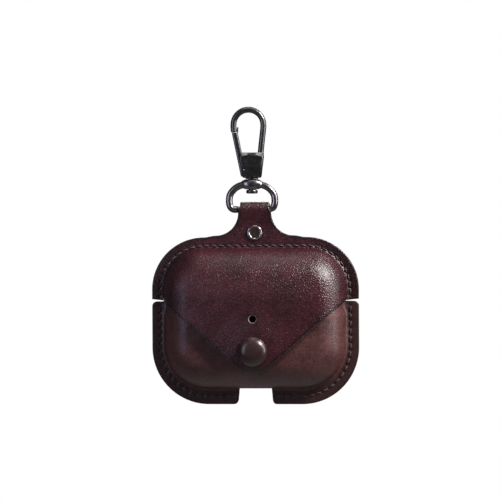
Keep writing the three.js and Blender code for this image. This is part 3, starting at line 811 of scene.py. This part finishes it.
def stitches(name, seam, side, slot_node, body):
    """Slanted stitches, each diving into its holes. side is -1 on the front and 1 on the back."""
    mesh = bmesh.new()
    sides, rings = 8, 7
    radius = 0.27
    end_gap = 0.11  # of the pitch, at each end
    slant = 0.16
    sunk, rise = 0.02, 0.16  # the ends' and the middle's height over the rim's face
    for a, b in zip(seam[:-1], seam[1:]):
        length = np.linalg.norm(b - a)
        along = (b - a) / length
        across = np.array([-along[1], along[0]])
        start = a + along * end_gap * length + across * slant
        end = b - along * end_gap * length - across * slant
        run = (end - start) / np.linalg.norm(end - start)
        loops = []
        for t in np.linspace(0, 1, rings):
            bow = max(math.sin(math.pi * t), 0)
            thick = radius * (0.45 + 0.55 * bow ** 0.5)
            loop = []
            for angle in np.radians(np.arange(sides) * 360 / sides):
                x, z = start + (end - start) * t + thick * math.cos(angle) * np.array([-run[1], run[0]])
                y = RIM_FACE + sunk + rise * bow ** 0.6 + thick * 0.8 * math.sin(angle)
                loop.append((x, side * y, z))
            loops.append(loop)
        skin(mesh, loops)
    bmesh.ops.recalc_face_normals(mesh, faces=mesh.faces)
    return finished(name, mesh, thread, body, "thread", slot_node)


def finished(name, mesh, material, body, slot, *nodes, sharp=40):
    """A bmesh as a shown piece that rides on a body and stands for CAD nodes."""
    data = bpy.data.meshes.new(name)
    mesh.to_mesh(data)
    mesh.free()
    data.materials.append(material)
    data.shade_smooth()
    data.set_sharp_from_angle(angle=math.radians(sharp))
    piece = put_in_scene(name, data)
    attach(piece, body)
    if nodes:
        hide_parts(*nodes)
    return piece


# ---- leather pieces
def front_surface(flat):
    return mould(flat, front_lift, strap=True)


def lower_surface(flat):
    return mould(flat, no_lift, tuck=1.0)


def back_surface(flat):
    return mould(flat, no_lift)


def bend(piece):
    """Bakes a piece's placement into its mesh."""
    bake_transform(piece)


def bare_edges(flat, edge_gap):
    """The unpainted edges, in the cut edges' lighter tone with a painted highlight in it: the V's and, a
    little wider, the light hole's.
    """
    at_hole = np.linalg.norm(flat - unroll([LIGHT_HOLE]), axis=1) < 1.6
    on_flap = (flat[:, 1] < SPLIT - 0.8) & (edge_gap < 0.16)
    return at_hole | on_flap


def light_hole(wider=0.0, step=0.25):
    return arc(*LIGHT_HOLE, LIGHT_HOLE_R + wider, 360, 12, step)


front = leather_piece(
    "front_leather", front_outline(), front_surface, LEATHER, [pebbled, suede, edge_paint, cut_edge_with_highlight],
    holes=[light_hole()], awl_holes=LID_SEAM, bare=bare_edges)
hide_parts("lid_front_panel", "closure_flap")
bend(front)

lower_front = leather_piece(
    "lower_front_leather", lower_front_outline(), lower_surface, LEATHER, [plain, suede, edge_paint],
    holes=[light_hole(0.05)], awl_holes=np.concatenate([RIGHT_SEAM, LEFT_SEAM]))
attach(lower_front, "lower")
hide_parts("lower_front_panel")

back = leather_piece(
    "back_leather", back_outline(), back_surface, LEATHER, [plain, suede, edge_paint], back=True,
    awl_holes=np.concatenate([LID_SEAM, RIGHT_SEAM, LEFT_SEAM]))
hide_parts("lid_back_panel", "lower_back_panel")
bend(back)

SEAMS = (("lid", LID_SEAM, "lid"), ("lower_left", LEFT_SEAM, "lower"), ("lower_right", RIGHT_SEAM, "lower"))
for seam_name, seam, body in SEAMS:
    stitches(seam_name + "_needle_stitches", seam, -1, seam_name + "_needle_thread", body)
    stitches(seam_name + "_bobbin_stitches", seam, 1, seam_name + "_bobbin_thread", body)


# ---- linings
def lining_piece(name, outline, surface, nodes, back=False, holes=()):
    """A lining set in behind the leather, in place of the CAD nodes it hides."""
    piece = leather_piece(name, outline, surface, LINING, [lining_cloth] * 3, back=back, spacing=1.6,
                          offset=LEATHER + 0.02, rounding=0.1, holes=holes, rim_extra=0.0)
    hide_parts(*nodes)
    return piece


front_lining = lining_piece("front_lining", front_lining_outline(), front_surface,
                            ["lid_front_lining", "flap_lining"], holes=[light_hole(0.4, 0.4)])
bend(front_lining)

lower_lining = lining_piece("lower_front_lining_cloth", lower_lining_outline(), lower_surface,
                            ["lower_front_lining"], holes=[light_hole(0.4, 0.4)])
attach(lower_lining, "lower")

back_lining = lining_piece("back_lining", back_lining_outline(), back_surface,
                           ["lid_back_lining", "lower_back_lining"], back=True)
bend(back_lining)


# ---- metal shapes
def turned(profile, middle, axis, steps=56):
    """Loops of a turned shape: profile is (radius, position along the axis)."""
    around = np.radians(np.linspace(0, 360, steps, endpoint=False))
    c, s = np.cos(around), np.sin(around)
    if axis == "y":
        return [np.stack([middle[0] + r * c, 0 * c + h, middle[2] + r * s], 1) for r, h in profile]
    return [np.stack([middle[0] + r * c, middle[1] + r * s, 0 * c + h], 1) for r, h in profile]


def softened(profile, rounds=2):
    """A profile with its corners cut round, keeping its ends."""
    points = np.array(profile, float)
    for _ in range(rounds):
        low, high = points[:-1], points[1:]
        cut = np.stack([0.8 * low + 0.2 * high, 0.2 * low + 0.8 * high], 1)
        points = np.concatenate([points[:1], cut.reshape(-1, 2)[1:-1], points[-1:]])
    return [tuple(p) for p in points]


def solid(name, parts, material, body, slot, *nodes, sharp=35):
    """A piece from one or more skinned shapes: (loops, closed) each."""
    mesh = bmesh.new()
    for loops, closed in parts:
        skin(mesh, loops, closed)
    bmesh.ops.recalc_face_normals(mesh, faces=mesh.faces)
    return finished(name, mesh, material, body, slot, *nodes, sharp=sharp)


def turned_piece(name, profile, middle, material, body, slot, *nodes, axis="y", steps=56, closed=False,
                 sharp=35):
    """A piece turned about one axis."""
    solid(name, [(turned(profile, middle, axis, steps), closed)], material, body, slot, *nodes, sharp=sharp)


def curve(points, per):
    """A smooth curve through points."""
    p = np.array(points, float)
    p = np.concatenate([[2 * p[0] - p[1]], p, [2 * p[-1] - p[-2]]])
    out = []
    for i in range(1, len(p) - 2):
        for t in np.linspace(0, 1, per, endpoint=False):
            a, b, c, d = p[i - 1:i + 3]
            out.append(0.5 * (2 * b + (c - a) * t + (2 * a - 5 * b + 4 * c - d) * t * t
                              + (3 * b - a - 3 * c + d) * t ** 3))
    return np.array(out + [p[-2]])


def tube(path, radius, side=(0, 1, 0), sides=20):
    """Loops of a round wire along a path, with rounded ends; side is the direction it never bends in."""
    path = np.array(path, float)
    tangent = np.gradient(path, axis=0)
    tangent /= np.linalg.norm(tangent, axis=1, keepdims=True)
    a = np.cross(tangent, side)
    a /= np.linalg.norm(a, axis=1, keepdims=True)
    b = np.cross(a, tangent)
    radius = np.broadcast_to(np.asarray(radius, float), len(path)).copy()
    around = np.radians(np.linspace(0, 360, sides, endpoint=False))
    loops = [p + r * (np.outer(np.cos(around), u) + np.outer(np.sin(around), v))
             for p, r, u, v in zip(path, radius, a, b)]

    def shrunk(loop, size, shift):
        spokes = loop - loop.mean(0)
        return loop.mean(0) + shift + spokes / np.linalg.norm(spokes[0]) * size

    start, end = loops[0], loops[-1]
    for share, move in ((0.85, 0.15), (0.5, 0.24)):
        loops.insert(0, shrunk(start, share * radius[0], -tangent[0] * move * radius[0]))
        loops.append(shrunk(end, share * radius[-1], tangent[-1] * move * radius[-1]))
    return loops


def at_hook(points):
    """Front-view points beside the hook's axis as points of the cover's frame."""
    return [(HOOK_X + x, 0.0, z) for x, z in points]


# ---- the hook
WIRE = 1.07
BOW = dict(cx=-1.15, cz=98.3, r=5.27, start=-2, end=180, step=1.2)
leg = [(3.0, 86.6), (3.3, 90), (3.75, 94), (4.08, 97)]
nose = [(-6.4, 97.2), (-6.27, 95.92)]
hook_wire = curve(at_hook(leg + arc(**BOW) + nose), per=5)

BLOCK_LEVELS = (
    # height at the sides, rise in the middle, half width, half depth
    (79.6, 0.0, 2.9, 1.5), (79.75, 0.0, 3.15, 1.75), (80.3, 0.0, 3.4, 2.0), (83.55, 0.0, 3.72, 2.32),
    (83.75, 0.0, 3.76, 2.48), (86.75, 0.8, 4.14, 2.5), (86.9, 0.8, 4.16, 2.42), (88.35, 0.0, 4.2, 1.25),
    (88.5, 0.0, 4.1, 1.15),
)


def block_loops():
    """The hook's block: a C in plan, open to the left for the gate, with an arched bevel at the top."""
    loops = []
    slot_half = 1.05
    corner = 0.4
    for z, rise, w, d in BLOCK_LEVELS:
        slot_end = -1.75 + (z - 81.6) * 0.196  # leans with the gate
        quarter = np.radians(range(0, 91, 15))
        right = [(w - corner + corner * math.sin(t), -d + corner - corner * math.cos(t)) for t in quarter]
        left = [(-w + corner - corner * math.cos(t), -d + corner - corner * math.sin(t)) for t in quarter]
        across = [(x, -d) for x in np.linspace(-w + corner, w - corner, 12)[1:-1]]
        front_half = [(-w, -slot_half)] + left + across + right
        outline = front_half + [(x, -y) for x, y in reversed(front_half)]
        outline += [(slot_end, slot_half), (slot_end, -slot_half)]
        loops.append([(HOOK_X + x, y, z + rise * (1 - min(1, (x / w) ** 2))) for x, y in outline])
    return loops


solid("hook_bow", [(tube(hook_wire, WIRE), False), (block_loops(), False)], black_nickel, "hook",
      "black_nickel", "hook_frame", sharp=28)

GATE_SECTIONS = (
    # height, left edge, right edge, half depth
    (80.0, -3.5, -2.3, 0.5), (80.15, -3.8, -2.1, 0.85), (80.6, -3.98, -2.0, 1.0),
    (82.2, -4.32, -2.25, 1.0), (95.2, -6.98, -4.82, 1.0), (95.5, -7.02, -4.85, 0.95),
    (95.56, -5.2, -4.8, 0.9), (97.2, -5.18, -4.66, 0.9), (97.5, -5.06, -4.74, 0.7),
)


def gate_loops():
    """The straight gate leaning left from its pin, with a lip that rests inside the nose."""
    loops = []
    for z, left, right, deep in GATE_SECTIONS:
        middle, half = (left + right) / 2, (right - left) / 2
        loop = []
        for a in np.radians(np.arange(0, 360, 15)):
            c, s = (math.copysign(abs(v) ** 0.6, v) for v in (math.cos(a), math.sin(a)))
            loop.append((HOOK_X + middle + half * c, deep * s, z))
        loops.append(loop)
    return loops


solid("gate_lever", [(gate_loops(), False)], black_nickel, "gate", "black_nickel", "hook_gate", sharp=28)
PIN = (HOOK_X - 3, 0, 82.2)
pin_profile = [(0.02, -2.27), (0.4, -2.26), (0.5, -2.18), (0.5, 2.18), (0.4, 2.26), (0.02, 2.27)]
turned_piece("gate_pin_turned", pin_profile, PIN, black_nickel, "hook", "gunmetal", "gate_pin", steps=24)

COIL = dict(x=HOOK_X - 2.15, z=85.6, long=3.3, r=0.45, wire=0.12, turns=6)
coil_turn = np.linspace(0, COIL["turns"] * 2 * math.pi, COIL["turns"] * 18)
coil_x = COIL["x"] + (coil_turn / coil_turn[-1]) * COIL["long"]
coil_ring = COIL["r"] * np.cos(coil_turn), COIL["z"] + COIL["r"] * np.sin(coil_turn)
coil_loops = tube(np.stack([coil_x, *coil_ring], 1), COIL["wire"], side=(1, 0, 0), sides=8)
gate_coil = solid("gate_coil", [(coil_loops, False)], steel, "hook", "spring_steel", "gate_spring")
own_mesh(gate_coil)

post_head = [(0.02, 74.05), (1.75, 74.05), (2.05, 74.3), (2.05, 75.15), (1.75, 75.42), (1.25, 75.43)]
post_collar = [(1.25, 79.2), (2.1, 79.2), (2.3, 79.3), (2.3, 79.45), (2.1, 79.53), (1.25, 79.55)]
post_profile = softened(post_head) + post_collar + [(1.25, 82.4), (0.02, 82.4)]
turned_piece("swivel_pin", post_profile, (HOOK_X, 0, 0), black_nickel, "hook", "black_nickel",
             "swivel_post", axis="z")

# The ring: a wire D with rounded lower corners, forged into a lens-shaped boss round the swivel's pin.
RING_WIRE = 1.22
half_ring = [(0, 68.5), (2.6, 68.5), (4.6, 68.5), (5.7, 68.5), (6.35, 68.53), (7.1, 68.85),
             (7.7, 69.6), (8.05, 71.2), (7.75, 73.6), (6.4, 75.5), (4.6, 76.7), (2.4, 77.35)]
ring_path = curve(at_hook([(-x, z) for x, z in half_ring[:0:-1]] + half_ring), per=6)
BOSS_HALF = (4.25, 2.3)
BOSS_BORE = 1.36
BOSS_LEVELS = (
    # share of the way from the bore to the boss's edge, height
    (0, 75.75), (0.35, 75.58), (0.75, 76.1), (0.93, 76.75), (1, 77.35), (0.93, 77.95), (0.75, 78.6),
    (0.35, 79.07), (0, 79.0),
)
boss_loops = []
around = np.radians(np.arange(0, 360, 7.5))
reach = 1 / np.sqrt((np.cos(around) / BOSS_HALF[0]) ** 2 + (np.sin(around) / BOSS_HALF[1]) ** 2)
for share, z in BOSS_LEVELS:
    r = BOSS_BORE + (reach - BOSS_BORE) * share
    boss_loops.append(np.stack([HOOK_X + r * np.cos(around), r * np.sin(around), 0 * r + z], 1))
# The bar is a little thinner inside the fold of the tab.
in_fold = smooth((6.3 - np.abs(ring_path[:, 0])) / 0.6) * (ring_path[:, 2] < 69.5)
ring_loops = tube(ring_path, RING_WIRE - 0.16 * in_fold, sides=24)
solid("ring_and_boss", [(ring_loops, False), (boss_loops, True)], gunmetal, "ring",
      "gunmetal", "swivel_ring", sharp=50)


# ---- rivet and snap
RIVET_AT = (RIVET[0], 0, RIVET[2])
SNAP_AT = (SNAP[0], 0, SNAP[2])
# Profiles are (radius, y), from the middle out and back.
rivet_rim = [(1.7, -1.9), (1.95, -2.2), (2.3, -2.28), (2.62, -2.1), (2.7, -1.75), (2.7, -1.58)]
rivet_profile = [(0.02, -1.9), (1.2, -1.88)] + softened(rivet_rim) + [(1.1, -1.58), (1.1, 1.2), (0.02, 1.2)]
turned_piece("rivet_eyelet", rivet_profile, RIVET_AT, nickel, "lid", "gunmetal", "rivet_cap")
rivet_fill = [(0.02, -1.96), (1.1, -1.97), (1.6, -1.93), (1.62, -1.85), (0.02, -1.85)]
turned_piece("rivet_inlay", rivet_fill, RIVET_AT, enamel, "lid", "snap_enamel")
rivet_under = [(0.02, 2.3), (0.7, 2.36), (1.9, 2.2), (2.5, 1.95), (2.7, 1.7), (2.7, 1.58), (1.2, 1.58),
               (1.2, 1.25), (0.02, 1.25)]
turned_piece("rivet_foot", softened(rivet_under, 1), RIVET_AT, gunmetal, "lid", "gunmetal", "rivet_back")

cap_profile = [(0.02, -17.86), (1.3, -17.82), (2.5, -17.66), (3.4, -17.38), (4.1, -16.98), (4.6, -16.54),
               (4.9, -16.14), (5.06, -15.86), (5.1, -15.7), (5.02, -15.6), (2.6, -15.6), (2.6, -14.4),
               (0.02, -14.4)]
turned_piece("snap_button", cap_profile, SNAP_AT, enamel, "flap", "snap_enamel", "snap_cap", sharp=60)
socket_profile = [(3.3, -14.23), (4.5, -14.23), (4.6, -14.1), (4.5, -13.4), (4.1, -13.0), (3.7, -12.95),
                  (3.4, -13.1), (3.3, -13.4)]
turned_piece("snap_socket_ring", socket_profile, SNAP_AT, steel, "flap", "spring_steel", "snap_socket",
             closed=True)
SPRING_R = 3.1
spring_path = [(SNAP_AT[0] + SPRING_R * math.cos(a), -13.6, SNAP_AT[2] + SPRING_R * math.sin(a))
               for a in np.radians(range(20, 341, 8))]
spring_loops = tube(spring_path, 0.18, sides=8)
solid("snap_spring_wire", [(spring_loops, False)], steel, "flap", "spring_steel", "snap_socket_spring")
stud_head = [(1.3, -13.86), (1.75, -13.7), (1.72, -13.45), (1.3, -13.2), (1.45, -13.0), (2.7, -12.98),
             (2.8, -12.86)]
stud_profile = [(0.02, -13.86)] + softened(stud_head) + [(2.8, -12.78), (0.02, -12.78)]
turned_piece("snap_ball", stud_profile, SNAP_AT, steel, "lower", "spring_steel", "snap_stud")
post_low = [(0.02, -10.98), (3.7, -10.98), (3.9, -11.1), (3.9, -11.4), (1.0, -11.42), (1.0, -12.7),
            (0.02, -12.7)]
turned_piece("snap_post_turned", post_low, SNAP_AT, steel, "lower", "spring_steel", "snap_post")


# ---- stage, lights and camera
LIGHTS = (
    # name, azimuth (0 in front, 90 to the right), elevation, distance, width, height, radiance, colour
    ("key", 60, 40, 0.5, 0.11, 0.13, 125, (1.0, 0.97, 0.96)),
    ("side", 74, 10, 0.5, 0.12, 0.30, 12, (1.0, 0.96, 0.95)),
    ("fill", -42, 8, 0.5, 0.14, 0.34, 4.2, (0.80, 0.76, 1.0)),
    ("top", 5, 62, 0.45, 0.3, 0.06, 1.5, (1, 1, 1)),
    ("bevel", 0, 84, 0.13, 0.05, 0.025, 7, (1, 1, 1)),
    ("front", -14, 40, 0.6, 0.4, 0.2, 0.3, (1.0, 0.90, 0.90)),
    ("back_key", 163, 28, 0.5, 0.3, 0.3, 6, (1, 1, 1)),
    ("back_fill", -160, 8, 0.5, 0.2, 0.4, 2.5, (0.9, 0.88, 1.0)),
)


def towards(azimuth, elevation):
    """The direction of that azimuth and elevation, in degrees."""
    a, e = math.radians(azimuth), math.radians(elevation)
    return Vector((math.sin(a) * math.cos(e), -math.cos(a) * math.cos(e), math.sin(e)))


def softbox(aim, name, azimuth, elevation, distance, width, height, radiance, color):
    """A soft light that faces aim."""
    data = bpy.data.lights.new(name, "AREA")
    data.shape = "RECTANGLE"
    data.size, data.size_y = width, height
    data.energy = radiance * width * height * math.pi
    data.color = color
    light = put_in_scene(name, data)
    light.location = aim + distance * towards(azimuth, elevation)
    light.rotation_euler = (aim - light.location).to_track_quat("-Z", "Y").to_euler()
    light.visible_camera = False


def for_camera(tree, other, shown, surface):
    """The camera sees the shader shown, and every other ray the other one."""
    path = tree.nodes.new("ShaderNodeLightPath")
    mix = tree.nodes.new("ShaderNodeMixShader")
    tree.links.new(path.outputs["Is Camera Ray"], mix.inputs["Fac"])
    tree.links.new(other.outputs[0], mix.inputs[1])
    tree.links.new(shown.outputs[0], mix.inputs[2])
    tree.links.new(mix.outputs[0], surface)


def stage():
    """A white sweep under and behind the hanging cover."""
    scene = bpy.context.scene
    scene.view_settings.view_transform = "Standard"
    scene.world = bpy.data.worlds.new("studio")
    scene.world.use_nodes = True
    tree = scene.world.node_tree
    shown = tree.nodes["Background"]
    dim = tree.nodes.new("ShaderNodeBackground")
    for background, strength in ((shown, 1.0), (dim, 0.085)):
        background.inputs["Color"].default_value = (1, 1, 1, 1)
        background.inputs["Strength"].default_value = strength
    for_camera(tree, dim, shown, tree.nodes["World Output"].inputs["Surface"])
    floor_z = cad_box[0].z - 0.5
    size = 3.0
    corners = [(x, y, floor_z) for x, y in ((-size, -size), (size, -size), (size, size), (-size, size))]
    mesh = bpy.data.meshes.new("floor")
    mesh.from_pydata(corners, [], [(0, 1, 2, 3)])
    floor = put_in_scene("floor", mesh)
    paper = Look("paper")
    paper.shade(Base_Color=(0.5, 0.5, 0.5, 1), Roughness=0.9)
    nodes = paper.tree.nodes
    glow = nodes.new("ShaderNodeEmission")
    for_camera(paper.tree, paper.shader, glow, nodes["Material Output"].inputs["Surface"])
    floor.data.materials.append(paper.material)


def photograph():
    """A long lens a little to the right of the front, level with the lid. Returns what it is aimed at."""
    aim = Vector(place([-1.8, 0, 54.2]))
    away = towards(4.3, 0.3)
    data = bpy.data.cameras.new("camera")
    data.lens = 150
    data.sensor_width = 36
    shown_width = 0.176
    camera = put_in_scene("camera", data)
    camera.location = aim + away * shown_width * data.lens / data.sensor_width
    camera.rotation_euler = (-away).to_track_quat("-Z", "Y").to_euler()
    camera.rotation_euler.rotate_axis("Z", math.radians(-0.3))
    bpy.context.scene.camera = camera
    return aim


stage()
aim = photograph()
for light in LIGHTS:
    softbox(aim, *light)
